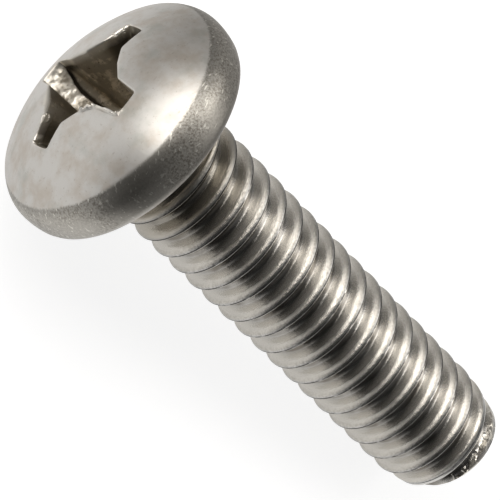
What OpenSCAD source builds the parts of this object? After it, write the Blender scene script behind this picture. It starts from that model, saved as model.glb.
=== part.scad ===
// Pan head machine screw, quarter inch by one inch, twenty threads to the inch.
// The screw is one piece of stainless wire: the head is cold formed, the cross recess is
// punched into it, and the thread is rolled along the whole shank.
// Lengths are in millimetres, angles in degrees. It is modelled upright, with its bearing
// face at height zero and the head above it, and is then laid down as it would come to rest.

/* [Head] */
// Diameter at the widest part of the head
head_d = 12.24; // [11.8:0.02:12.7]
// Height of the head above its bearing face
head_h = 4.05; // [3.9:0.05:4.5]
// Radius of the low dome on top
dome_r = 9.4; // [8.6:0.1:11]
// Radius of the rounded shoulder between dome and side
corner_r = 1.45; // [1:0.05:1.7]
// Diameter of the flat bearing face
bearing_d = 11.9; // [11.5:0.02:12]
// How far the flat of the bearing face starts outside the thread
face_gap = 0.1; // [0.05:0.01:0.3]

/* [Cross recess] */
// Distance from wing tip to wing tip at the mouth
recess_d = 6.86; // [6.4:0.02:7.1]
// Width of a wing at its tip, at the mouth
wing_w = 1.16; // [0.9:0.02:1.3]
// Angle by which each side of a wing spreads from its tip inward
wing_spread = 7; // [0:1:10]
// Distance of the corner between two wings from each wing's centre line
corner_at = 1.3; // [1.16:0.02:1.4]
// Angle between a wing's centre line and the flank that leads to the corner
flank_turn = 37; // [32:1:42]
// Slope of the wing ends from the axis
wing_taper = 26.5; // [24:0.5:28]
// Diameter where the wing ends meet the floor
floor_d = 3.8; // [3.4:0.1:4.2]
// Slope of the conical floor
floor_slope = 28; // [20:1:32]
// Diameter of the flat at the very bottom
bottom_d = 0.8; // [0.4:0.1:1.2]
// Share of its mouth size that the core between the wings keeps at the foot of the wings
draft_share = 0.72; // [0.65:0.01:0.85]
// Slope of the side walls of a wing from the axis
wing_draft = 1; // [0:0.5:2]
// Direction of the first wing
recess_turn = 11.5; // [0:0.5:89.5]

/* [Shank] */
// Length from the bearing face to the end
length = 25.2; // [12:0.2:34]
// Diameter of the plain neck under the head
neck_d = 5.5; // [5.3:0.05:5.8]
// Length of the neck
neck_l = 1.3; // [0.9:0.1:2.5]

/* [Thread] */
// Diameter over the thread crests
major_d = 6.22; // [6.1:0.01:6.35]
// Distance from one crest to the next
pitch = 1.27; // [1.2:0.01:1.4]
// Diameter at the bottom of the groove
root_d = 4.84; // [4.75:0.01:5]
// Width of the flat that is left on a crest
crest_w = 0.16; // [0.1:0.01:0.24]
// Angle between the two flanks of the groove
flank_angle = 60; // [58:1:62]
// Turns over which the groove fades out at the neck
fade_turns = 0.75; // [0.5:0.25:1.5]
// Direction in which a crest meets the end face
start_turn = 295; // [0:5:355]

/* [Tip] */
// Length of the tapered threads at the end
tip_l = 2.1; // [1:0.1:3]
// Diameter that the taper reaches at the end
tip_d = 5.4; // [5.1:0.05:5.6]
// Diameter of the end face inside its edge chamfer
end_d = 5; // [4.4:0.05:5.1]
// How far the edge chamfer sits off the axis
end_shift = 0.3; // [0:0.05:0.3]
// Direction in which it sits off the axis
end_turn = 340; // [0:5:355]

/* [Rest] */
// Direction of the side that lies on the floor
down_turn = 107.4; // [0:0.1:359.9]

/* [Hidden] */
head_r = head_d / 2;
bearing_r = bearing_d / 2;
neck_r = neck_d / 2;
crest_r = major_d / 2;
root_r = root_d / 2;
tip_r = tip_d / 2;
end_r = end_d / 2;

// A fillet fills the corner under the head. A panel whose hole clears the thread clears it too.
fillet_r = crest_r + face_gap - neck_r;

// How far a cutting shape reaches past the surface that it cuts
over = 1;

// Section of the head: the dome and the shoulder are arcs that touch, and so are the
// shoulder and the side, which touch where the head is widest.
dome_z = head_h - dome_r;
corner_x = head_r - corner_r;
wide_z = dome_z + sqrt(pow(dome_r - corner_r, 2) - pow(corner_x, 2));
meet_turn = asin(corner_x / (dome_r - corner_r));
side_in = head_r - bearing_r;
side_r = (pow(wide_z, 2) + pow(side_in, 2)) / (2 * side_in);

// The mouth of the recess lies on the dome, at the radius of the wing tips
mouth_r = recess_d / 2;
mouth_z = dome_z + sqrt(pow(dome_r, 2) - pow(mouth_r, 2));
floor_r = floor_d / 2;
floor_z = mouth_z - (mouth_r - floor_r) / tan(wing_taper);
bottom_r = bottom_d / 2;
bottom_z = floor_z - (floor_r - bottom_r) * tan(floor_slope);
lid_z = head_h + over;
lid_r = mouth_r + (lid_z - mouth_z) * tan(wing_taper);
// The plan of the core shrinks evenly with depth
function plan_scale(z) = 1 - (1 - draft_share) * (mouth_z - z) / (mouth_z - floor_z);
wing_y = wing_w / 2;
// Corner where the side of a wing meets the flank
flank_x = (corner_at * (1 + tan(flank_turn)) - wing_y - mouth_r * tan(wing_spread))
    / (tan(flank_turn) - tan(wing_spread));
flank_y = wing_y + (mouth_r - flank_x) * tan(wing_spread);

// Groove of the thread, cut as a rounded V whose root radius follows from its width
steps = 24;
half_angle = flank_angle / 2;
mouth_half = (pitch - crest_w) / 2;
depth = crest_r - root_r;
round_r = (mouth_half - depth * tan(half_angle)) / (cos(half_angle) - (1 - sin(half_angle)) * tan(half_angle));
round_half = round_r * cos(half_angle);
round_up = round_r * (1 - sin(half_angle));
// The first ring is one pitch below the end, and the last is at the neck
rings = floor((length + pitch - neck_l) / pitch * steps);
fade_rings = fade_turns * steps;
fade_lift = depth + crest_w;
first_turn = start_turn - 180 - 360;
function lift(i) = fade_lift * max(0, 1 - (rings - i) / fade_rings);
// The flanks run on a little past the crests, less than where two turns would meet
past = crest_r * (1 / cos(180 / steps) - 1) + 0.03;
past_half = mouth_half + past * tan(half_angle);
function groove_section(up) = [
    [crest_r + past + up, past_half],
    [root_r + round_up + up, round_half],
    [root_r + up, 0],
    [root_r + round_up + up, -round_half],
    [crest_r + past + up, -past_half],
];

// The rounded step from the neck up to the thread crests
step_l = crest_r - neck_r;

// Laid on a flat floor, the screw touches it with the side of its head and with one of
// the crests near the tip. Each crest on the lower side would give a tilt of its own,
// and the smallest of them is the one that holds.
tip_slope = (crest_r - tip_r) / tip_l;
first_crest = -length + pitch * ((down_turn - start_turn + 360) % 360) / 360;
crest_count = floor((length - neck_l - step_l) / pitch);
function crest_at(z) = min(crest_r, tip_r + (z + length) * tip_slope);
function tilt_on(z) =
    let (dx = head_r - side_r - crest_at(z), dz = wide_z - z)
    atan2(dx, dz) + asin(side_r / sqrt(dx * dx + dz * dz));
tilt = min([for (k = [0:crest_count - 1]) tilt_on(first_crest + k * pitch)]);
// Height of the axis, where the head is widest, above the floor
lie_z = side_r + (head_r - side_r) * cos(tilt) - wide_z * sin(tilt);
// Ends of the laid screw along the floor, from the centre of its bearing face
head_end = dome_z * cos(tilt) + dome_r;
tip_end = length * cos(tilt) + end_r * sin(tilt);

$fn = 96;

// Half section of the head, turned about the axis
module head_section() {
    intersection() {
        square([head_r + over, head_h + over]);
        union() {
            // dome
            intersection() {
                translate([0, dome_z]) circle(r = dome_r);
                polygon([
                    [0, dome_z],
                    [0, head_h + over],
                    [(dome_r + over) * sin(meet_turn), dome_z + (dome_r + over) * cos(meet_turn)],
                ]);
            }
            // shoulder
            translate([corner_x, wide_z]) circle(r = corner_r);
            // side, which draws in a little towards the bearing face
            intersection() {
                translate([head_r - side_r, wide_z]) circle(r = side_r);
                square([head_r, wide_z]);
            }
            // middle
            polygon([
                [0, 0],
                [corner_x, 0],
                [corner_x, wide_z],
                [dome_r * sin(meet_turn), dome_z + dome_r * cos(meet_turn)],
                [0, dome_z + dome_r * cos(meet_turn)],
            ]);
        }
    }
}

module head() {
    rotate_extrude() head_section();
}

// Fillet under the head, as a ring whose outer side is hollowed by a circle
module fillet() {
    rotate_extrude() difference() {
        translate([0, -fillet_r]) square([neck_r + fillet_r, fillet_r]);
        translate([neck_r + fillet_r, -fillet_r]) circle(r = fillet_r);
    }
}

// Blank of the shank before the groove is rolled into it
module shank_blank() {
    intersection() {
        union() {
            translate([0, 0, -length]) cylinder(h = length, r = neck_r);
            translate([0, 0, -length]) cylinder(h = length - neck_l - step_l, r = crest_r);
            translate([0, 0, -neck_l - step_l]) cylinder(h = step_l, r1 = crest_r, r2 = neck_r);
        }
        // the last threads are tapered
        translate([0, 0, -length])
            cylinder(h = length, r1 = tip_r, r2 = tip_r + length * tip_slope);
        // the edge of the end face is chamfered, a little off centre
        rotate([0, 0, end_turn]) translate([end_shift, 0, -length])
            cylinder(h = length, r1 = end_r, r2 = end_r + length);
    }
}

module thread_groove() {
    count = len(groove_section(0));
    points = [
        for (i = [0:rings])
            let (turn = first_turn + 360 * i / steps, z = -length - pitch + pitch * i / steps)
            for (p = groove_section(lift(i)))
                [p[0] * cos(turn), p[0] * sin(turn), z + p[1]]
    ];
    sides = [
        for (i = [0:rings - 1], j = [0:count - 1])
            let (a = i * count + j, b = i * count + (j + 1) % count)
            [a, b, b + count, a + count]
    ];
    start_cap = [for (j = [count - 1:-1:0]) j];
    end_cap = [for (j = [0:count - 1]) rings * count + j];
    polyhedron(points = points, faces = concat(sides, [start_cap, end_cap]), convexity = 20);
}

// Outline of the core, one quarter at a time
function quarter(turn) = [
    for (p = [[flank_x, -flank_y], [flank_x, flank_y], [corner_at, corner_at]])
        [p[0] * cos(turn) - p[1] * sin(turn), p[0] * sin(turn) + p[1] * cos(turn)]
];

// One wing, open at its outer end, between two side walls that lean and spread
module wing_side() {
    translate([mouth_r, wing_y, mouth_z])
        rotate([0, 0, -wing_spread]) rotate([-wing_draft, 0, 0])
            translate([-head_d, -head_d, -head_d]) cube([2 * head_d, head_d, 2 * head_d]);
}

module wing() {
    intersection() {
        translate([0, -head_r, bottom_z - over]) cube([head_r, head_d, lid_z + over - bottom_z]);
        wing_side();
        mirror([0, 1, 0]) wing_side();
    }
}

module recess() {
    low_z = bottom_z - over;
    low = plan_scale(low_z);
    rotate([0, 0, recess_turn]) intersection() {
        union() {
            translate([0, 0, low_z])
                linear_extrude(height = lid_z - low_z, scale = plan_scale(lid_z) / low)
                    scale(low) polygon([for (k = [0:3]) each quarter(90 * k)]);
            for (k = [0:3]) rotate([0, 0, 90 * k]) wing();
        }
        rotate_extrude() polygon([
            [0, bottom_z],
            [bottom_r, bottom_z],
            [floor_r, floor_z],
            [lid_r, lid_z],
            [0, lid_z],
        ]);
    }
}

module screw_upright() {
    difference() {
        union() {
            head();
            fillet();
            shank_blank();
        }
        thread_groove();
        recess();
    }
}

// Turned so that the axis runs along the floor, head at the left, and so that the chosen
// side is underneath
module screw() {
    color([0.72, 0.7, 0.67])
        translate([(head_end - tip_end) / 2, 0, lie_z])
            rotate([0, tilt, 0])
                rotate([0, -90, 0]) rotate([0, 0, 180 - down_turn]) screw_upright();
}

screw();
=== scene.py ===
# %% [markdown]
# A pan head machine screw of stainless steel lies on a pale floor. The real one is cold formed
# from wire: the head is upset, the cross recess is punched, and the thread is rolled. The CAD
# frame holds the same screw, with 24 flats to each turn of its thread. Here one finer skin takes
# its place: it has rounded crests, a softened recess mouth and the grain that tumbling leaves.

# %% The frame
import bpy, bmesh, math
from mathutils import Matrix, Vector


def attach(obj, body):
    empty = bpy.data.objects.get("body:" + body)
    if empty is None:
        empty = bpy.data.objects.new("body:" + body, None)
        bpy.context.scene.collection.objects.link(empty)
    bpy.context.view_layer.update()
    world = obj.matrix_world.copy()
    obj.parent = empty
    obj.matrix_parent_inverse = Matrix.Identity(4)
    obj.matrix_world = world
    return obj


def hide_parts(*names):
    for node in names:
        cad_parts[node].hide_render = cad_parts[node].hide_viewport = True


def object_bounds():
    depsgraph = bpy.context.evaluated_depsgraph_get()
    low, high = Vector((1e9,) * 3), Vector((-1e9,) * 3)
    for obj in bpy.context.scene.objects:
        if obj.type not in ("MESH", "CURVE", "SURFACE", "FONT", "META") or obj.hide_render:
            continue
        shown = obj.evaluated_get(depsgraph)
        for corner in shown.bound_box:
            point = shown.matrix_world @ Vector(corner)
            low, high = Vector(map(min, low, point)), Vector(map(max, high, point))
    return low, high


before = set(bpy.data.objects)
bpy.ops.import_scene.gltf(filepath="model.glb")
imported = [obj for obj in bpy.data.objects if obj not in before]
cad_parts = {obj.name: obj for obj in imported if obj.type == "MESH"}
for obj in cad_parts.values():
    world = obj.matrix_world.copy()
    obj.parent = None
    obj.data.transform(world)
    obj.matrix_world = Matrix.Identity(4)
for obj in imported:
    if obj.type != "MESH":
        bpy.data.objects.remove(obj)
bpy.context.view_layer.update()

MM = 0.001
COLUMNS = 128  # points around the screw, shared by head and thread so that they weld

# %% [markdown]
# The head is a low dome over a rounded shoulder, and its side curves in a little to the flat
# bearing face. It could be one lathe section of arcs, and the arcs are worked out here first.
# All sizes are in millimetres and repeat the values of the CAD source. The screw is shaped
# upright, with its bearing face at height zero, because circles are easy to draw that way, and
# is laid down at the end.

# %% Sizes of the head
HEAD_R, HEAD_H, DOME_R, CORNER_R, BEARING_R = 6.12, 4.05, 9.4, 1.45, 5.95

dome_z = HEAD_H - DOME_R
corner_x = HEAD_R - CORNER_R
wide_z = dome_z + math.sqrt((DOME_R - CORNER_R) ** 2 - corner_x ** 2)
side_r = (wide_z ** 2 + (HEAD_R - BEARING_R) ** 2) / (2 * (HEAD_R - BEARING_R))
print("head is widest at", round(wide_z, 3), "mm, side radius", round(side_r, 2), "mm")

# %% Line between dome and shoulder
# In the CAD head the two arcs touch. On the real one the press leaves a soft line there.
LINE_R = 5.74
line_z = dome_z + math.sqrt(DOME_R ** 2 - LINE_R ** 2)
shoulder_r = ((HEAD_R - LINE_R) ** 2 + (line_z - wide_z) ** 2) / (2 * (HEAD_R - LINE_R))
line_turn = math.degrees(math.asin((line_z - wide_z) / shoulder_r))
dome_start = math.degrees(math.acos(LINE_R / DOME_R))
print("shoulder radius", round(shoulder_r, 2), "mm,",
      "crease", round(dome_start - line_turn, 1), "degrees")


# %% [markdown]
# The head is drawn as a stack of rings. The first ring is the neck, and each next one is
# extruded from the last and moved: out along the bearing face, up the side, over the shoulder
# and the dome. A lathe operator would do as well for the outside, but the same rings can then
# leave the round form and run into the cross recess, so the skin has no cut seams.

# %% Helpers for edit mode
def edit(piece):
    """Open one piece in edit mode with nothing else selected."""
    bpy.ops.object.select_all(action="DESELECT")
    piece.select_set(True)
    bpy.context.view_layer.objects.active = piece
    bpy.ops.object.mode_set(mode="EDIT")
    bpy.ops.mesh.select_mode(type="VERT")


def place(piece, ring, points):
    """Move the points of a ring, given in millimetres, to their places."""
    form = bmesh.from_edit_mesh(piece.data)
    form.verts.ensure_lookup_table()
    for i, p in zip(ring, points):
        form.verts[i].co = Vector(p) * MM
    bmesh.update_edit_mesh(piece.data)


def pull(piece, ring, points):
    """Extrude the selected ring and put the new one in its place."""
    bpy.ops.mesh.extrude_region()
    form = bmesh.from_edit_mesh(piece.data)
    form.verts.index_update()
    form.verts.ensure_lookup_table()
    new = []
    for i in ring:
        ends = [e.other_vert(form.verts[i]) for e in form.verts[i].link_edges]
        new.append(next(v.index for v in ends if v.select))
    place(piece, new, points)
    return new


# %% Circle rings of the outside
def around(r, z):
    """A level ring of points, one for each column."""
    turns = [2 * math.pi * k / COLUMNS for k in range(COLUMNS)]
    return [(r * math.cos(t), r * math.sin(t), z) for t in turns]


def arc(x, z, r, start, stop, count):
    """Points on an arc of the section, angles in degrees from the horizontal."""
    turns = [math.radians(start + (stop - start) * i / count) for i in range(count + 1)]
    return [(x + r * math.cos(t), z + r * math.sin(t)) for t in turns]


NECK_R, NECK_L, FILLET_R = 2.75, 1.3, 0.46
EDGE_R = 0.12  # the bearing edge is not quite sharp
NECK_RING_Z = -0.9
FACE_RINGS = (3.6, 4.6, 5.4, BEARING_R - 0.2)
EDGE_STOP, SIDE_START = -15, -13.5  # a small gap, so that no two rings fall together
LINE_GAP = 0.6  # degrees left free beside the line, for the same reason
LAST_CIRCLE_R = 4.3  # the dome's last round ring before the rings turn into a cross

dome_stop = math.degrees(math.acos(LAST_CIRCLE_R / DOME_R))
section = [(NECK_R, -NECK_L), (NECK_R, NECK_RING_Z)]
section += arc(NECK_R + FILLET_R, -FILLET_R, FILLET_R, 180, 90, 5)
section += [(r, 0) for r in FACE_RINGS]
section += arc(BEARING_R - EDGE_R, EDGE_R, EDGE_R, -90, EDGE_STOP, 4)
section += arc(HEAD_R - side_r, wide_z, side_r, SIDE_START, 0, 6)[:-1]
section += arc(HEAD_R - shoulder_r, wide_z, shoulder_r, 0, line_turn, 12)
section += arc(0, dome_z, DOME_R, dome_start + LINE_GAP, dome_stop, 7)
print("rings of the outside:", len(section))


# %% [markdown]
# The recess is made by a punch with four tapered wings. It could be cut with a Boolean, but
# that leaves long thin faces that shade badly on a dome. So its star-shaped outline is given by
# the same number of points as a circle. Each point knows how it moves as the recess narrows
# with depth, and meets the dome above and the cone of the floor below.

# %% Sizes of the recess
MOUTH_R, WING_W, CORNER_AT, FLANK_TURN, FLOOR_R, BOTTOM_R = 3.43, 1.16, 1.3, 37, 1.9, 0.4
WING_SPREAD, WING_DRAFT, DRAFT_SHARE = 7, 1, 0.72
WING_TAPER, FLOOR_SLOPE = 26.5, 28


def slope(angle):
    """Run over rise of a wall at an angle in degrees."""
    return math.tan(math.radians(angle))


def dome_height(r):
    """Height of the dome at a radius."""
    return dome_z + math.sqrt(DOME_R ** 2 - r ** 2)


def floor_height(r):
    """Height of the recess's conical floor at a radius, level near its middle."""
    return floor_z - (FLOOR_R - max(r, BOTTOM_R)) * slope(FLOOR_SLOPE)


mouth_z = dome_height(MOUTH_R)
floor_z = mouth_z - (MOUTH_R - FLOOR_R) / slope(WING_TAPER)
print("mouth at", round(mouth_z, 2), "mm, rim of the floor at", round(floor_z, 2), "mm")

# %% Half of a wing
HALF = COLUMNS // 8  # points from the middle of a wing to the corner beside it
# where the points lie: shares of the half end, a count along the side, shares of the flank
END_POINTS, SIDE_POINTS = (0, 0.45, 0.84), 4
FLANK_POINTS = (0.06, 0.16, 0.3, 0.44, 0.58, 0.72, 0.85, 0.94, 1.0)
END_CORNER = len(END_POINTS)
FIRST_SIDE = END_CORNER + 1
FIRST_FLANK = FIRST_SIDE + SIDE_POINTS
CUT, STEP_IN, LEAST_SIDE = 0.02, 0.08, 0.12  # blunt corner, first step past it, shortest side


def half_wing(k, z):
    """Point k, from the wing's middle to the corner, at height z."""
    deep = mouth_z - z
    share = 1 - (1 - DRAFT_SHARE) * deep / (mouth_z - floor_z)
    tip = MOUTH_R - deep * slope(WING_TAPER)
    c = CORNER_AT * share

    def side(x):
        return WING_W / 2 + (MOUTH_R - x) * slope(WING_SPREAD) - deep * slope(WING_DRAFT)

    # the side meets the flank that comes from the corner
    fx = (c * (1 + slope(FLANK_TURN)) - side(0)) / (slope(FLANK_TURN) - slope(WING_SPREAD))
    fx = min(max(fx, c), tip - LEAST_SIDE)
    end_y = side(tip)
    if k < END_CORNER:
        y = end_y * END_POINTS[k]
        return math.sqrt(tip ** 2 - y ** 2), y
    end_x = math.sqrt(tip ** 2 - end_y ** 2)
    if k == END_CORNER:
        return end_x - CUT, end_y - CUT
    if k < FIRST_FLANK:
        along_side = (k - FIRST_SIDE) / (SIDE_POINTS - 1)
        x = end_x - STEP_IN - (end_x - 2 * STEP_IN - fx) * along_side
        return x, side(x)
    s = FLANK_POINTS[k - FIRST_FLANK]
    return fx + (c - fx) * s, side(fx) + (c - side(fx)) * s


print("points in half a wing:", FIRST_FLANK + len(FLANK_POINTS), "with both ends")

# %% Outline of the cross
RECESS_TURN, RECESS_COLUMN = 11.5, 4  # degrees, and the column nearest to them
GUESS_R, ROUNDS = 2.5, 30  # a start for the search, and enough rounds for it to settle


def wing_point(k):
    """The wing that column k belongs to, and its point counted from the wing's middle."""
    wing, j = divmod((k - RECESS_COLUMN) % COLUMNS + HALF, 2 * HALF)
    return wing, j - HALF


def column(k, z):
    """Point of column k of the whole cross at height z, turned to its place."""
    wing, j = wing_point(k)
    x, y = half_wing(abs(j), z)
    if j < 0:
        y = -y
    turn = math.radians(90 * wing + RECESS_TURN)
    return x * math.cos(turn) - y * math.sin(turn), x * math.sin(turn) + y * math.cos(turn)


def where(k, surface):
    """Height at which column k of the cross meets a surface of revolution."""
    z = surface(GUESS_R)
    for _ in range(ROUNDS):
        z = surface(math.hypot(*column(k, z)))
    return z


tops = [where(k, dome_height) for k in range(COLUMNS)]
feet = [where(k, floor_height) for k in range(COLUMNS)]
mouth = [column(k, tops[k]) for k in range(COLUMNS)]
print("mouth heights", round(min(tops), 2), round(max(tops), 2),
      "feet", round(min(feet), 2), round(max(feet), 2))


# %% [markdown]
# A punched edge is never sharp: the metal rolls in over it, more at the corners between the
# wings, and here and there stands up in a burr. A Bevel modifier would round every edge alike,
# so each column of the mouth gets its own radius and its own burr.

# %% Rolled edge and burrs of the mouth
ROLL_R, CORNER_ROLL, LEANING_ROLL = 0.08, 0.1, 0.24  # everywhere, and what corners add to it
ROLL_FROM = 5  # the point from a wing's middle where the wider roll begins
# burrs along the wings: the wing, the first and last point from its middle, height and radius
BURRS = [(0, 3, 6, 0.05, 0.2), (2, -8, -7, 0.06, 0.13), (2, -4, -3, 0.05, 0.12),
         (3, -14, -3, 0.26, 0.22)]


def burrs_at(k):
    """Height and radius of each burr that crosses column k."""
    wing, j = wing_point(k)
    return [(h, r) for w, first, last, h, r in BURRS if w == wing % 4 and first <= j <= last]


def roll_radius(k):
    """Radius of the rolled edge at column k."""
    wing, j = wing_point(k)
    near = max(0.0, (abs(j) - ROLL_FROM) / (HALF - ROLL_FROM))
    # the punch leaned a little, so the corner between the second and third wing is drawn in more
    leaning = (wing, j > 0) in ((1, True), (2, False))
    added = LEANING_ROLL if leaning else CORNER_ROLL
    radius = ROLL_R + added * near * near * (3 - 2 * near)
    return max([radius] + [r for _, r in burrs_at(k)])


def burr_height(k):
    """How far a burr stands up at column k: it rises and falls along its edge."""
    return sum(h for h, _ in burrs_at(k)) * (0.75 + 0.35 * math.sin(2.4 * k))


rolls = [roll_radius(k) for k in range(COLUMNS)]
print("edge radius from", round(min(rolls), 2), "to", round(max(rolls), 2), "mm, highest burr",
      round(max(burr_height(k) for k in range(COLUMNS)), 2), "mm")


# %% [markdown]
# Between the last circle and the cross, each ring is a blend of the two and lies on the dome.
# At the mouth the skin turns over the rolled edge, and then it runs down the walls and in
# across the floor. So the dome's rings flow into the recess without a cut.

# %% Rings from the last circle over the rolled edge
def outward(points, shares):
    """Each point moved outward in plan by its own distance."""
    moved = []
    for i, ((x, y), e) in enumerate(zip(points, shares)):
        (ax, ay), (bx, by) = points[i - 1], points[(i + 1) % len(points)]
        d = math.hypot(bx - ax, by - ay)
        moved.append((x + e * (by - ay) / d, y - e * (bx - ax) / d))
    return moved


BLEND = [0.12, 0.26, 0.42, 0.58, 0.73, 0.86, 0.95]  # shares of the way to the mouth
ROLL_TURNS = [0, 22, 45, 66, 90]  # how far the rolled edge has turned over, in degrees
BURR_SHAPE = [0, 0.7, 1.0, 0.8, 0.3]  # shares of the burr's height at those turns

circle = [(x, y) for x, y, _ in around(LAST_CIRCLE_R, 0)]
lip = outward(mouth, rolls)
recess_rings = []
for t in BLEND:
    flat = [(a + (c - a) * t, b + (d - b) * t) for (a, b), (c, d) in zip(circle, lip)]
    recess_rings.append([(x, y, dome_height(math.hypot(x, y))) for x, y in flat])
for turn, share in zip(ROLL_TURNS, BURR_SHAPE):
    a = math.radians(turn)
    flat = outward(mouth, [r * (1 - math.sin(a)) for r in rolls])
    ring = []
    for k, ((x, y), r) in enumerate(zip(flat, rolls)):
        rolled_z = dome_height(math.hypot(x, y)) - r * (1 - math.cos(a))
        ring.append((x, y, rolled_z + share * burr_height(k)))
    recess_rings.append(ring)
print("rings to the recess's edge:", len(recess_rings))

# %% Rings down the walls and across the floor
WALL = [0.1, 0.25, 0.42, 0.6, 0.78, 0.92, 1.0]
FLOOR = [0.1, 0.35, 0.65, 1.0]

for t in WALL:
    heights = [a - r + (b - a + r) * t for a, b, r in zip(tops, feet, rolls)]
    recess_rings.append([(*column(k, z), z) for k, z in enumerate(heights)])
foot = recess_rings[-1]
for t in FLOOR:
    ring = []
    for x, y, z in foot:
        r = math.hypot(x, y)
        s = (r + (BOTTOM_R - r) * t) / r
        ring.append((x * s, y * s, floor_height(r * s)))
    recess_rings.append(ring)
print("rings with walls and floor:", len(recess_rings))

# %% Head
bpy.ops.object.select_all(action="DESELECT")
bpy.ops.mesh.primitive_circle_add(vertices=COLUMNS, radius=NECK_R * MM)
head = bpy.context.object
head.name = "screw_skin"
edit(head)
bpy.ops.mesh.select_all(action="SELECT")
ring = list(range(COLUMNS))
place(head, ring, around(*section[0]))
for r, z in section[1:]:
    ring = pull(head, ring, around(r, z))
for points in recess_rings:
    ring = pull(head, ring, points)
bpy.ops.mesh.edge_face_add()
bpy.ops.object.mode_set(mode="OBJECT")
print("head faces", len(head.data.polygons))


# %% [markdown]
# A rolled thread is one section wound along a helix. The section of one pitch is drawn as a
# chain of points, each extruded from the last, and the Screw modifier winds it up. Rolling
# squeezes metal up between the dies, so each crest is two small lips with a shallow seam
# between them, wider and rounder on the side towards the head, and each root is round.

# %% Section of one pitch
CREST_R, ROOT_R, PITCH, CREST_W = 3.11, 2.42, 1.27, 0.16
HALF_THREAD_ANGLE = math.pi / 6
# distance from the crest's middle, and depth below the crest
HEAD_SIDE = [(0.0, 0.035), (0.03, 0.0), (0.08, 0.01), (0.14, 0.04),
             (0.19, 0.08), (0.24, 0.14), (0.29, 0.22), (0.345, 0.34)]
TIP_SIDE = [(0.0, 0.035), (0.03, 0.004), (0.06, 0.015), (0.1, 0.055),
            (0.16, 0.139), (0.22, 0.242), (0.28, 0.346), (0.34, 0.45)]
ROOT_STEPS = [1.0, 0.66, 0.33, 0.0]

flank_w = (CREST_R - ROOT_R) * math.tan(HALF_THREAD_ANGLE)
round_r = ((PITCH - CREST_W) / 2 - flank_w) * math.sqrt(3)
half_root = round_r * math.cos(HALF_THREAD_ANGLE)


def half_pitch(crest):
    """Distance from the crest's middle, and radius, from the crest down to the root."""
    points = [(u, CREST_R - d) for u, d in crest]
    for s in ROOT_STEPS:
        v = half_root * s
        points.append((PITCH / 2 - v, ROOT_R + round_r - math.sqrt(round_r ** 2 - v ** 2)))
    return points


whole = half_pitch(HEAD_SIDE) + [(PITCH - u, r) for u, r in reversed(half_pitch(TIP_SIDE)[:-1])]
print("points in one pitch", len(whole), "root radius", round(round_r, 3), "mm")


# %% [markdown]
# The thread does not run at full height from end to end. At the tip it is tapered and the end's
# edge is chamfered a little off centre, and at the neck the groove fades out. Cutting these
# forms would leave ragged crests, so one function gives the radius for any direction and
# height, and the wound skin is pulled to it.

# %% Radius of the shank
LENGTH, TIP_L, TIP_R = 25.2, 2.1, 2.7
END_R, END_SHIFT, END_TURN, START_TURN = 2.5, 0.3, 340, 295
FADE_TURNS, FADE_RISE = 0.75, 0.85  # how long the groove takes to fade, and by how much it rises
TIP_SOFT, END_SOFT = 0.03, 0.06  # how softly the taper and the chamfer meet the thread
CHAMFER_REACH = 4  # beyond this radius the chamfer's cone is well outside the thread


def thread_radius(u):
    """Radius at a distance u above a crest's middle."""
    u = u % PITCH
    for (u0, r0), (u1, r1) in zip(whole, whole[1:]):
        if u <= u1:
            return r0 + (r1 - r0) * (u - u0) / (u1 - u0)
    return whole[-1][1]


def crest_middle(turn):
    """Height of the crest's middle in one direction, for the lowest turn of the thread."""
    return -LENGTH + PITCH * (turn - math.radians(START_TURN)) / (2 * math.pi)


def smallest(a, b, soft):
    """The smaller of two radii, rounded where they meet."""
    h = max(0.0, soft - abs(a - b)) / soft
    return min(a, b) - h * h * soft / 4


def shank_radius(turn, z):
    """Radius of the whole shank in one direction and at one height."""
    below_neck = -NECK_L - z
    fade = min(1.0, max(0.0, 1 - below_neck / (FADE_TURNS * PITCH)))
    r = thread_radius(z - crest_middle(turn)) + FADE_RISE * fade
    r = min(r, NECK_R + max(0.0, below_neck))
    r = smallest(r, TIP_R + (z + LENGTH) * (CREST_R - TIP_R) / TIP_L, TIP_SOFT)
    away = turn - math.radians(END_TURN)
    cone = END_R + z + LENGTH
    if cone < CHAMFER_REACH:
        across = math.sqrt(cone ** 2 - (END_SHIFT * math.sin(away)) ** 2)
        r = smallest(r, END_SHIFT * math.cos(away) + across, END_SOFT)
    return r


print("radius at the end", [round(shank_radius(a * math.pi / 2, -LENGTH), 2) for a in range(4)])

# %% Thread
SPARE_TURNS = 3  # wound past both ends, and then drawn back to them

bpy.ops.object.select_all(action="DESELECT")
bpy.ops.mesh.primitive_plane_add(size=MM)
thread = bpy.context.object
thread.name = "thread"
edit(thread)
bpy.ops.mesh.select_all(action="SELECT")
bpy.ops.mesh.merge(type="CENTER")
start_z = crest_middle(0) - PITCH
bpy.ops.transform.translate(value=(whole[0][1] * MM, 0, start_z * MM))
for (u0, r0), (u1, r1) in zip(whole, whole[1:]):
    step = ((r1 - r0) * MM, 0, (u1 - u0) * MM)
    bpy.ops.mesh.extrude_region_move(TRANSFORM_OT_translate={"value": step})
bpy.ops.object.mode_set(mode="OBJECT")

wind = thread.modifiers.new("wind", "SCREW")
wind.axis = "Z"
wind.screw_offset = PITCH * MM
wind.iterations = math.ceil((LENGTH - NECK_L) / PITCH) + SPARE_TURNS
wind.steps = wind.render_steps = COLUMNS
wind.use_merge_vertices = False
bpy.ops.object.modifier_apply(modifier=wind.name)

for v in thread.data.vertices:
    turn = math.atan2(v.co.y, v.co.x)
    z = min(-NECK_L, max(-LENGTH, v.co.z / MM))
    r = shank_radius(turn, z) * MM
    v.co = (r * math.cos(turn), r * math.sin(turn), z * MM)
print("thread points", len(thread.data.vertices))

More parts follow.
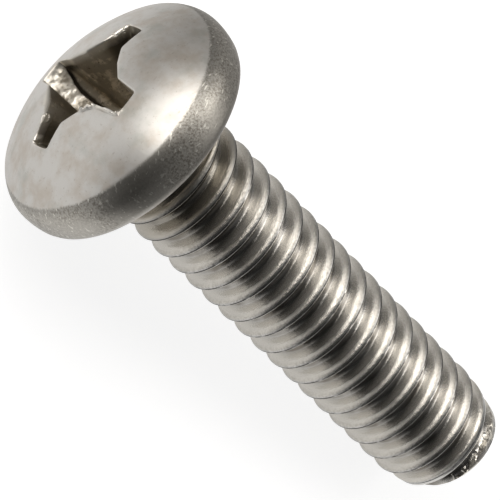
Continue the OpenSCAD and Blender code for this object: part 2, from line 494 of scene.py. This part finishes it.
# %% [markdown]
# Head and thread are one piece of metal, so they become one skin. Both have the same columns,
# and merging by distance welds them at the neck. A Boolean union would do it too, but it would
# cut new points into both. The open end at the tip is closed with a face, which is inset once
# and sunk a little, since a sheared end is slightly hollow.

# %% One closed skin
WELD, SLIVER = 0.0004, 0.0001
END_INSET, END_HOLLOW = 0.12, 0.03

bpy.ops.object.select_all(action="DESELECT")
thread.select_set(True)
head.select_set(True)
bpy.context.view_layer.objects.active = head
bpy.ops.object.join()
screw = head
edit(screw)
bpy.ops.mesh.select_all(action="SELECT")
bpy.ops.mesh.remove_doubles(threshold=WELD * MM)
bpy.ops.mesh.dissolve_degenerate(threshold=SLIVER * MM)
bpy.ops.mesh.select_all(action="DESELECT")
bpy.ops.mesh.select_non_manifold()
bpy.ops.mesh.edge_face_add()
bpy.ops.mesh.inset(thickness=END_INSET * MM, depth=END_HOLLOW * MM)
bpy.ops.mesh.select_all(action="SELECT")
bpy.ops.mesh.normals_make_consistent(inside=False)
bpy.ops.mesh.select_all(action="DESELECT")
bpy.ops.mesh.select_non_manifold()
form = bmesh.from_edit_mesh(screw.data)
print("open points", sum(v.select for v in form.verts),
      "volume mm3", round(form.calc_volume() / MM ** 3, 1))
bpy.ops.object.mode_set(mode="OBJECT")

# %% [markdown]
# The finish differs from place to place: the dome was pressed smooth, the shoulder stretched and
# went grainy, the recess walls carry the marks of the punch and painted shade, and the thread's
# roots are painted darker as shade.
# Masks could be painted by hand, but they can be measured: each point keeps its place on the
# upright screw in millimetres, so patterns can follow the screw's own axis, and a number for
# each kind of surface, which the material reads.

# %% Distance from the burrs
def burr_edges():
    """Edges of the mouth that carry a burr, as pairs of points in plan."""
    for wing, first, last, _, _ in BURRS:
        start = RECESS_COLUMN + 2 * HALF * wing
        points = [Vector(mouth[(start + j) % COLUMNS]) for j in range(first, last + 1)]
        yield from zip(points, points[1:])


burr_lines = list(burr_edges())


def burr_gap(x, y):
    """Distance in plan from the nearest burr."""
    here = Vector((x, y))
    gaps = []
    for a, b in burr_lines:
        t = min(1.0, max(0.0, (here - a).dot(b - a) / (b - a).length_squared))
        gaps.append((here - a.lerp(b, t)).length)
    return min(gaps)


print("edges with a burr:", len(burr_lines))

# %% Marks for the material
KINDS = ("side", "recess", "edge", "burr", "thread", "root", "crest_gap", "tipward")
FACE_Z = -0.005  # what lies above this belongs to the head
RECESS_REACH = 3.7  # the recess and its rolled edge lie within this radius
BURR_REACH = (1.2, 3.8)  # radii between which burrs stand
LIP = 0.02  # depth below the dome at which the recess begins
END_LAYER = 0.02  # points this close to the end are its rim
SEAM_HALF = 0.03  # half the seam's width, over which the thread's two sides change over


def ramp(value, low, high):
    """0 up to low, 1 from high, and a soft rise between them."""
    t = min(1.0, max(0.0, (value - low) / (high - low)))
    return t * t * (3 - 2 * t)


def kinds_at(x, y, z):
    """The numbers for one point, named as in KINDS. Each ramp is in mm but the root's, a share."""
    r = math.hypot(x, y)
    found = dict.fromkeys(KINDS, 0.0)
    if z > FACE_Z:
        low = dome_height(r) - z
        found["side"] = ramp(z, 0.02, 0.25)
        if r < RECESS_REACH and low > LIP:
            found["recess"] = ramp(low, LIP, 0.2)
            found["edge"] = ramp(low, 0.0, 0.03) * (1 - ramp(low, 0.12, 0.3))
        if BURR_REACH[0] < r < BURR_REACH[1] and -0.2 < low < 0.4:
            found["burr"] = 1 - ramp(burr_gap(x, y), 0.08, 0.2)
    else:
        found["thread"] = 1.0
    if z > -NECK_L or z < END_LAYER - LENGTH:
        found["crest_gap"] = found["tipward"] = 1.0
    else:
        found["root"] = ramp((CREST_R - r) / (CREST_R - ROOT_R), 0.7, 0.95)
        u = (z - crest_middle(math.atan2(y, x)) + PITCH / 2) % PITCH - PITCH / 2
        found["crest_gap"] = abs(u)
        found["tipward"] = -math.copysign(min(1.0, abs(u) / SEAM_HALF), u)
    return found


upright = [v.co / MM for v in screw.data.vertices]
kinds = [kinds_at(*p) for p in upright]
places = screw.data.attributes.new("upright", "FLOAT_VECTOR", "POINT")
places.data.foreach_set("vector", [c for p in upright for c in p])
for name in KINDS:
    numbers = screw.data.attributes.new(name, "FLOAT", "POINT")
    numbers.data.foreach_set("value", [found[name] for found in kinds])
    print("mark", name, "on", sum(found[name] != 0 for found in kinds), "points")

# %% [markdown]
# The screw lies on its side, on the rim of its head and a crest near the tip. Turning the object
# would slide its patterns, so the turn goes into the mesh, and the object stays at the origin.

# %% Laid down
TILT, DOWN_TURN = math.radians(7.196), 107.4  # dip of the axis, and the side that is below
SMOOTH_TURN = 38

lie_z = side_r + (HEAD_R - side_r) * math.cos(TILT) - wide_z * math.sin(TILT)
head_x = dome_z * math.cos(TILT) + DOME_R
tip_x = LENGTH * math.cos(TILT) + END_R * math.sin(TILT)
middle_x = (head_x - tip_x) / 2
to_floor = Matrix(((0, -math.sin(TILT), -math.cos(TILT), middle_x * MM), (1, 0, 0, 0),
                   (0, -math.cos(TILT), math.sin(TILT), lie_z * MM), (0, 0, 0, 1)))
screw.data.transform(to_floor @ Matrix.Rotation(math.radians(90 - DOWN_TURN), 4, "Z"))
bpy.ops.object.select_all(action="DESELECT")
screw.select_set(True)
bpy.context.view_layer.objects.active = screw
bpy.ops.object.shade_smooth_by_angle(angle=math.radians(SMOOTH_TURN))
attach(screw, "root")
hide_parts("screw")
skin_box = [[round(c / MM, 2) for c in p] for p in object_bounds()]
print("skin faces", len(screw.data.polygons), "box mm", skin_box)


# %% [markdown]
# The material is stainless steel of the 18-8 kind, cold formed and then tumbled, which gives the
# eye a warm light grey, satin rather than mirror bright. It could be one plain metal, but each
# step of making left its own trace. So coats of colour are collected from place to place, and
# at the end they are laid over each other in order. A coat is a share, a strength and a colour.

# %% Colour and node helpers
def linear(code):
    """An sRGB hex colour as linear red, green, blue and alpha."""
    channels = [int(code[i:i + 2], 16) / 255 for i in (1, 3, 5)]
    light = [c / 12.92 if c <= 0.04045 else ((c + 0.055) / 1.055) ** 2.4 for c in channels]
    return (*light, 1.0)


def node(kind, inputs=(), settings=None):
    """Add a node to the open tree.

    Inputs go by number or by name. Each is a number, a vector, a hex colour, an output of
    another node, or a node, which stands for its first output.
    """
    made = tree.nodes.new("ShaderNode" + kind)
    for name, value in (settings or {}).items():
        setattr(made, name, value)
    for key, value in inputs.items() if isinstance(inputs, dict) else enumerate(inputs):
        if isinstance(value, bpy.types.Node):
            value = value.outputs[0]
        if isinstance(value, bpy.types.NodeSocket):
            tree.links.new(value, made.inputs[key])
        else:
            made.inputs[key].default_value = linear(value) if isinstance(value, str) else value
    return made


def emptied(owner):
    """The node tree of a material or the world, with nothing in it yet."""
    owner.use_nodes = True
    owner.node_tree.nodes.clear()
    return owner.node_tree


def direction(angle):
    """A level direction on the upright screw."""
    return math.cos(math.radians(angle)), math.sin(math.radians(angle)), 0


# settings for what a Math, Vector Math, Map Range or Mix node does
TIMES, PLUS, LESS = ({"operation": name} for name in ("MULTIPLY", "ADD", "SUBTRACT"))
TIMES_PLUS, DOT = {"operation": "MULTIPLY_ADD"}, {"operation": "DOT_PRODUCT"}
SOFT, PAINT = {"interpolation_type": "SMOOTHSTEP"}, {"data_type": "RGBA"}
print("dome grey as linear light", [round(c, 3) for c in linear("#d0cdc8")])

# %% Material, and the marks that it reads
steel = bpy.data.materials.new("tumbled_stainless_steel")
tree = emptied(steel)
at = node("Attribute", (), {"attribute_name": "upright"}).outputs["Vector"]
marks = {name: node("Attribute", (), {"attribute_name": name}).outputs["Fac"] for name in KINDS}
height_at = node("SeparateXYZ", (at,)).outputs["Z"]
print("marks", list(marks))

# %% Dome: handling and weather leave faint brown and green grey clouds
BROWN_CLOUD, GREEN_CLOUD, PIT = 1.1, 1.5, 0.17  # mm

dome = node("Math", (1, marks["thread"]), LESS)
lumps = node("TexNoise", {"Vector": at, "Scale": 1 / BROWN_CLOUD, "Detail": 5, "Roughness": 0.6})
browns = node("Math", (node("MapRange", (lumps, 0.4, 0.7), SOFT), dome), TIMES)
squashed = node("VectorMath", (at, (1, 1, 1.3)), TIMES)
lumps = node("TexNoise", {"Vector": squashed, "Scale": 1 / GREEN_CLOUD,
                          "Detail": 5, "Roughness": 0.6})
greens = node("Math", (node("MapRange", (lumps, 0.48, 0.7), SOFT), dome), TIMES)
# small pits hold brown dirt
lumps = node("TexNoise", {"Vector": at, "Scale": 1 / PIT, "Detail": 3, "Roughness": 0.65})
pits = node("MapRange", (lumps, 0.6, 0.74), SOFT)
coats = [(browns, 1, "#c2bab0"), (greens, 0.55, "#afb0a8"), (pits, 0.4, "#8f8272")]
print("coats on the dome:", len(coats))

# %% [markdown]
# Beyond the line the shoulder was stretched over the press's edge. Stretching roughens steel,
# so it is darker and grainy. The grains are drawn about 0.1 mm wide, coarser than real ones,
# so that they show. The border wanders, which a noise on the radius gives.

# %% Shoulder
WANDER, GRAIN, UNEVEN, SCRATCH = 0.8, 0.1, 3.0, 0.1  # mm

flat = node("VectorMath", (at, (1, 1, 0)), TIMES)
radius = node("VectorMath", (flat,), {"operation": "LENGTH"}).outputs["Value"]
lumps = node("TexNoise", {"Vector": at, "Scale": 1 / WANDER, "Detail": 5, "Roughness": 0.8})
radius = node("Math", (lumps, 0.16, radius), TIMES_PLUS)
past_line = node("MapRange", (radius, 5.78, 5.88), SOFT)
shoulder = node("Math", (marks["side"], past_line), TIMES)
# a darker band just past the line: partly the line's own darker finish, partly a painted dark
# reflection
line_band_and_dark_reflection = node("MapRange", (radius, 5.86, 6.16, 1, 0), SOFT)
line_band_and_dark_reflection = node("Math", (shoulder, line_band_and_dark_reflection), TIMES)
grains = node("TexNoise", {"Vector": at, "Scale": 1 / GRAIN, "Detail": 3, "Roughness": 0.65})
lumps = node("TexNoise", {"Vector": at, "Scale": 1 / UNEVEN, "Detail": 1})
uneven = node("MapRange", (lumps, 0.4, 0.6, 0.25, 0.85), SOFT)
dark_grains = node("Math", (node("MapRange", (grains, 0.4, 0.64), SOFT), uneven), TIMES)
shoulder_grey = "#c1bdb5"
for share, strength, paint in ((dark_grains, 1, "#8a847b"), (line_band_and_dark_reflection, 0.4, "#75736f")):
    share = node("Math", (share, strength), TIMES)
    shoulder_grey = node("Mix", {0: share, 6: shoulder_grey, 7: paint}, PAINT).outputs[2]
# a few light scratches cross the shoulder: grains drawn out along one direction
long_way = node("VectorMath", (at, direction(30)), DOT).outputs["Value"]
short_way = node("VectorMath", (at, direction(120)), DOT).outputs["Value"]
drawn_out = node("CombineXYZ", (node("Math", (long_way, 0.16), TIMES), short_way,
                                node("Math", (height_at, 0.5), TIMES)))
lumps = node("TexNoise", {"Vector": drawn_out, "Scale": 1 / SCRATCH, "Detail": 1})
scratches = node("Math", (node("MapRange", (lumps, 0.64, 0.7), SOFT), shoulder), TIMES)
coats += [(marks["thread"], 1, "#dcdad6"), (shoulder, 1, shoulder_grey),
          (scratches, 0.7, "#ebe8df")]
print("coats with the shoulder:", len(coats))

# %% [markdown]
# The thread is brighter than the head, because the dies burnish it. Its roots are painted darker
# and browner, unevenly, as shade, and the neck and first turns under the head are painted darker
# as the head's shadow. A noise alone would lay that shade on the crests too, so it is multiplied
# by the mark for the roots.

# %% Thread: painted shade in the roots and under the head
ROOT_SHADE_SIZE = 1.3  # mm

# the roots are painted darker and browner, unevenly: painted shade in the thread's crevices
lumps = node("TexNoise", {"Vector": at, "Scale": 1 / ROOT_SHADE_SIZE})
root_shade = node("MapRange", (lumps, 0.35, 0.65, 0.55, 0.95), SOFT)
root_shade = node("Math", (marks["root"], root_shade), TIMES)
# the neck and the first turns under the head are painted darker: the head's painted shadow
head_shadow = node("MapRange", (height_at, -5.4, -3.2, 0, 0.75), SOFT)
head_shadow = node("Math", (head_shadow, marks["thread"]), TIMES)
coats += [(root_shade, 1, "#7b756c"), (head_shadow, 1, "#8f8a80")]
print("coats with the thread's dirt:", len(coats))

# %% Thread: the dies meet along the crests, in a frosted band on the head's side and a dark seam
BAND_WANDER, SEAM_BREAK = 0.3, 0.5  # mm

wander = node("TexNoise", {"Vector": at, "Scale": 1 / BAND_WANDER})
crest = node("Math", (wander, 0.1, marks["crest_gap"]), TIMES_PLUS)
crest = node("MapRange", (crest, 0.2, 0.36, 1, 0), SOFT)
head_side = node("MapRange", (marks["tipward"], -0.5, 0.5, 1, 0), SOFT)
band = node("Math", (crest, head_side), TIMES)
frosted = node("Math", (band, node("MapRange", (grains, 0.4, 0.6, 0.2, 0.9), SOFT)), TIMES)
flank = node("Math", (marks["thread"], head_side), TIMES)
off_seam = node("MapRange", (marks["crest_gap"], 0.06, 0.16), SOFT)
flank = node("Math", (flank, off_seam), TIMES)
# the head-side flanks are tinted cream where their highlight falls: a painted warm tint of the
# highlight
warm_highlight_tint = node("MapRange", (marks["crest_gap"], 0.34, 0.46, 0.35, 0), SOFT)
warm_highlight_tint = node("Math", (flank, warm_highlight_tint), TIMES)
lumps = node("TexNoise", {"Vector": at, "Scale": 1 / SEAM_BREAK})
seam = node("MapRange", (lumps, 0.35, 0.5, 0.45, 1), SOFT)
on_seam = node("MapRange", (marks["crest_gap"], 0.02, 0.05, 1, 0), SOFT)
seam = node("Math", (on_seam, seam), TIMES)
coats += [(frosted, 1, "#b0aeaa"), (warm_highlight_tint, 1, "#ddd4c3"), (seam, 1, "#454340")]
print("coats with the crests:", len(coats))

# %% [markdown]
# The punched walls are painted darker and browner as shade in the recess, but for scraped spots.
# The end wall of the second wing is torn: crumpled metal painted near white as a highlight, then
# a dark line painted as a shadow, then plain wall. Such a tear could be modelled, but it is
# shallow, so a colour and a strong bump show it.

# %% Recess: where the tear lies
SCRAPE, BURR_BREAK, CRUMPLE = 0.5, 0.35, 0.36  # mm

across = node("VectorMath", (at, direction(RECESS_TURN)), DOT).outputs["Value"]
toward_end = node("VectorMath", (at, direction(RECESS_TURN + 90)), DOT).outputs["Value"]
tear_edge_at = node("MapRange", (height_at, 1.8, 3.3, 0.1, 0.54), SOFT)
tear_edge_at = node("Math", (wander, 0.1, tear_edge_at), TIMES_PLUS)
past_tear_edge = node("Math", (across, tear_edge_at), LESS)
end_wall = node("MapRange", (toward_end, 1.65, 1.9), SOFT)
end_wall = node("Math", (end_wall, node("MapRange", (across, -0.7, -0.6), SOFT)), TIMES)
end_wall = node("Math", (end_wall, marks["recess"]), TIMES)
torn = node("MapRange", (past_tear_edge, -0.05, 0, 1, 0), SOFT)
torn = node("Math", (torn, end_wall), TIMES)
# a dark line just past the tear's edge: painted shadow
shadow_line = node("Math", (node("MapRange", (past_tear_edge, -0.05, 0), SOFT),
                     node("MapRange", (past_tear_edge, 0.1, 0.24, 1, 0), SOFT)), TIMES)
shadow_line = node("Math", (shadow_line, end_wall), TIMES)
print("nodes so far:", len(tree.nodes))

# %% Recess: walls and burrs
lumps = node("TexNoise", {"Vector": at, "Scale": 1 / SCRAPE, "Detail": 4, "Roughness": 0.65})
scrapes = node("MapRange", (lumps, 0.52, 0.66), SOFT)
# towards the ends of two wings the walls are painted darker still: painted shade
wing_end_shade = node("Math", (across,), {"operation": "ABSOLUTE"})
wing_end_shade = node("MapRange", (wing_end_shade, 1.6, 2.3, 0, 0.85), SOFT)
crumples = node("TexNoise", {"Vector": at, "Scale": 1 / CRUMPLE, "Detail": 1.5, "Roughness": 0.4})
creases = node("MapRange", (crumples, 0.4, 0.6), SOFT)
# the crumpled torn metal is painted near white: a painted highlight on it
torn_metal_highlight = node("Mix", {0: creases, 6: "#faf5ea", 7: "#ddd5c6"}, PAINT).outputs[2]
# the walls are painted darker and browner than the head: painted shade in the recess
walls = "#a9a193"
for share, strength, paint in ((scrapes, 1, "#dbd0bf"), (pits, 0.8, "#685f51"),
                               (wing_end_shade, 1, "#6e675a"), (shadow_line, 1, "#3b352d"),
                               (torn, 1, torn_metal_highlight)):
    share = node("Math", (share, strength), TIMES)
    walls = node("Mix", {0: share, 6: walls, 7: paint}, PAINT).outputs[2]
# burrs stand along the edges of three wings, painted near white as a highlight along them
lumps = node("TexNoise", {"Vector": at, "Scale": 1 / BURR_BREAK})
burr_and_highlight = node("MapRange", (lumps, 0.38, 0.5, 0.35, 1), SOFT)
burr_and_highlight = node("Math", (marks["burr"], burr_and_highlight), TIMES)
coats += [(marks["recess"], 1, walls), (marks["edge"], 1, "#d3cec4"), (burr_and_highlight, 1, "#f4efe4")]
print("coats with the recess:", len(coats))

# %% [markdown]
# The wire was sheared off at the tip, which left torn bright flecks on one side of its chamfer.
# They are too small to be worth a mesh, so a coarse noise with a hard border draws them, held to
# the chamfer by the height and the radius, and to its side by a direction.

# %% Tip
FLECK = 0.5  # mm

at_end = node("MapRange", (height_at, 0.3 - LENGTH, 0.6 - LENGTH, 1, 0), SOFT)
chamfer = node("MapRange", (radius, END_R - 0.35, END_R - 0.1), SOFT)
chamfer = node("Math", (at_end, chamfer), TIMES)
sheared = node("VectorMath", (at, direction(300)), DOT).outputs["Value"]
sheared = node("MapRange", (sheared, 1, 1.8), SOFT)
lumps = node("TexNoise", {"Vector": at, "Scale": 1 / FLECK, "Detail": 1})
flecks = node("MapRange", (lumps, 0.48, 0.56), SOFT)
flecks = node("Math", (node("Math", (chamfer, sheared), TIMES), flecks), TIMES)
coats += [(flecks, 0.8, "#f0ebdf")]
print("coats in all:", len(coats))

# %% Coats laid over each other
colour = "#d0cdc8"
for share, strength, paint in coats:
    share = node("Math", (share, strength), TIMES)
    colour = node("Mix", {0: share, 6: colour, 7: paint}, PAINT).outputs[2]
print("nodes so far:", len(tree.nodes))

# %% [markdown]
# Relief of about a tenth of a millimetre and less is left to a bump, since real points that
# fine would take millions of faces. Each row is a pattern, where it lies, and its height in
# millimetres. The rolled thread shines most, and torn, grainy and punched metal is duller.

# %% Relief, shine and the shader
DENT, SATIN, STREAK = 0.9, 0.16, 0.1  # mm
ROUND_WAYS = (0.22, 0.22, 1)  # rolling draws its streaks out round the screw

dents = node("TexNoise", {"Vector": at, "Scale": 1 / DENT})
satin = node("TexNoise", {"Vector": at, "Scale": 1 / SATIN, "Detail": 3, "Roughness": 0.6})
drawn_round = node("VectorMath", (at, ROUND_WAYS), TIMES)
streaks = node("TexNoise", {"Vector": drawn_round, "Scale": 1 / STREAK})
stretched = node("Math", (uneven, shoulder), TIMES)
relief = 0
for pattern, share, height in (
        (dents, 1, 0.01), (satin, 1, 0.002), (streaks, marks["thread"], 0.004),
        (grains, stretched, 0.014), (grains, marks["recess"], 0.012),
        (grains, band, 0.026), (grains, flank, 0.0065),
        (crumples, flecks, 0.07), (crumples, torn, 0.12), (crumples, burr_and_highlight, 0.08)):
    relief = node("Math", (node("Math", (pattern, share), TIMES), height, relief), TIMES_PLUS)
bump = node("Bump", {"Strength": 1, "Distance": MM, "Height": relief})
roughness = 0.36
for share, added in ((shoulder, 0.03), (marks["thread"], -0.13), (band, 0.05), (flank, 0.04),
                     (marks["recess"], 0.04), (torn, 0.05)):
    roughness = node("Math", (share, added, roughness), TIMES_PLUS)
shader = node("BsdfPrincipled", {"Metallic": 1, "Base Color": colour,
                                 "Roughness": roughness, "Normal": bump})
node("OutputMaterial", {"Surface": shader})
screw.data.materials.clear()
screw.data.materials.append(steel)
print("nodes of the steel:", len(tree.nodes))

# %% [markdown]
# The stage is a pale floor under soft studio light. It could be a bright white sheet, but that
# would light the screw from below. So its colour is a mid grey, and a little light of its own,
# which only the camera and the metal's reflections see, makes it white. It keeps the shadow.

# %% Floor
FLOOR_SIZE = 3  # metres
NEAR_EDGE, FAR_EDGE = 3 * MM, 20 * MM  # between these its reflection goes from bright to dim

bpy.ops.object.select_all(action="DESELECT")
bpy.ops.mesh.primitive_plane_add(size=FLOOR_SIZE)
floor = bpy.context.object
floor.name = "floor"
paper = bpy.data.materials.new("white_paper")
tree = emptied(paper)
rays = node("LightPath").outputs
mirrored = node("Math", (rays["Is Glossy Ray"], rays["Is Transmission Ray"]),
                {"operation": "MAXIMUM"})
floor_y = node("SeparateXYZ", (node("TexCoord").outputs["Object"],)).outputs["Y"]
reflected = node("MapRange", (floor_y, NEAR_EDGE, FAR_EDGE, 0.62, 0.08), SOFT)
reflected = node("Math", (mirrored, reflected), TIMES)
own_light = node("Math", (rays["Is Camera Ray"], 0.86, reflected), TIMES_PLUS)
matt = node("BsdfDiffuse", {"Color": "#a8a8a8"})
glow = node("Emission", {"Strength": own_light})
node("OutputMaterial", {"Surface": node("AddShader", (matt, glow))})
floor.data.materials.append(paper)
print("nodes of the floor:", len(tree.nodes))

# %% [markdown]
# Metal shows what is round it, so a room of even light would make it flat. The room is dim on
# one side, and low in front there is a paler band, so the metal has something dark to reflect
# beside the lamps.

# %% World
world = bpy.data.worlds.new("studio")
bpy.context.scene.world = world
tree = emptied(world)
toward = node("TexCoord").outputs["Generated"]
bright_side = node("VectorMath", (toward, (0.5, 0.85, 0)), DOT).outputs["Value"]
front = node("VectorMath", (toward, (-0.85, -0.53, 0)), DOT).outputs["Value"]
above = node("SeparateXYZ", (toward,)).outputs["Z"]
low_band = node("Math", (node("MapRange", (front, 0.2, 0.9), SOFT),
                         node("MapRange", (above, 0.05, 0.4, 0.6, 0), SOFT)), TIMES)
room_light = node("MapRange", (bright_side, -0.4, 0.3, 0.035, 0.2), SOFT)
room_light = node("Math", (room_light, low_band), PLUS)
node("OutputWorld", {"Surface": node("Background", {"Strength": room_light})})
print("nodes of the world:", len(tree.nodes))

# %% [markdown]
# Soft boxes are what a studio uses for shiny parts, because the metal mirrors their shape: a
# broad key by the head, a long strip that draws the line of light down the thread, and a
# weaker one behind. Each is given by its direction, its size and how bright its face is.

# %% Lamps
LAMP_AWAY = 500  # mm from the screw


def lamp(name, azimuth, elevation, size_mm, radiance):
    """A rectangular soft box that faces the screw."""
    a, e = math.radians(azimuth), math.radians(elevation)
    away = Vector((math.cos(a) * math.cos(e), math.sin(a) * math.cos(e), math.sin(e)))
    bpy.ops.object.light_add(type="AREA", location=away * LAMP_AWAY * MM)
    box = bpy.context.object
    box.name = name
    box.data.shape = "RECTANGLE"
    box.data.size, box.data.size_y = size_mm[0] * MM, size_mm[1] * MM
    box.data.energy = radiance * math.pi * box.data.size * box.data.size_y
    box.data.color = linear("#fffcf8")[:3]
    box.rotation_euler = away.to_track_quat("Z", "Y").to_euler()
    print("lamp", name, round(box.data.energy, 3), "W")


lamp("key", 160, 30, (370, 360), 2.8)
lamp("strip", 110, 52, (740, 250), 1.8)
lamp("back", 50, 38, (340, 260), 1.0)

# %% [markdown]
# The camera looks down on the screw through a long lens and is rolled, so that the head is at
# the top left. Its place was found by fitting the outline, so it is given by two directions of
# the picture, to the right and up, and by where it stands.

# %% Camera
SENSOR, LENS = 36, 245.82
CAMERA_AT = Vector((-73.052, -39.246, 139.779)) * MM
TO_RIGHT = Vector((0.659699, 0.553197, 0.508694))
TO_TOP = Vector((-0.600342, 0.795095, -0.0861))

camera_data = bpy.data.cameras.new("camera")
camera = bpy.data.objects.new("camera", camera_data)
bpy.context.collection.objects.link(camera)
camera_data.sensor_width = SENSOR
camera_data.lens = LENS
camera_data.clip_start = MM
turned = Matrix((TO_RIGHT, TO_TOP, TO_RIGHT.cross(TO_TOP))).transposed().to_4x4()
camera.matrix_world = Matrix.Translation(CAMERA_AT) @ turned
bpy.context.scene.camera = camera
print("camera is", round(CAMERA_AT.length / MM), "mm away")

# %% Finish
bpy.context.scene.view_settings.view_transform = "Standard"
